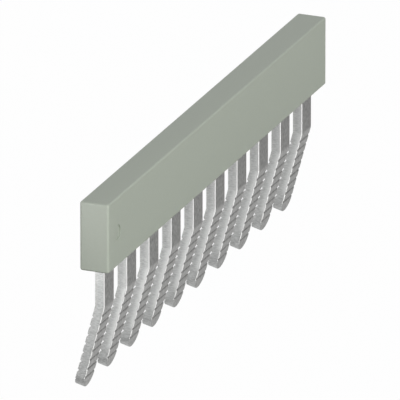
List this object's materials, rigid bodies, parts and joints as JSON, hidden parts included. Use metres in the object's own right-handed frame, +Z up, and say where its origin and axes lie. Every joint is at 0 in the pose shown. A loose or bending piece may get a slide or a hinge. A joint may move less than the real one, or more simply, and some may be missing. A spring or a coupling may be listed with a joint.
{
  "type": "terminal block jumper",
  "caption": "Comb jumper for a row of terminal blocks: a bar-shaped insulating cap over a tinned copper comb whose bent, grooved legs plug into the clamps and link them.",
  "frame": {"origin": "centre of the cap's underside, which meets the tops of the terminal blocks", "axes": "+X along the row of blocks, +Z up out of the blocks, +Y the way the legs bend"},
  "size_m": [0.0496, 0.0037, 0.0173],
  "materials": {
    "cap_polyamide": "moulded polyamide, pebble grey with a green cast, fine satin skin",
    "comb_tinned_copper": "matt tin plating over stamped copper strip"
  },
  "bodies": {
    "root": {"insulating_cap": "cap_polyamide", "contact_comb": "comb_tinned_copper"}
  },
  "joints": []
}
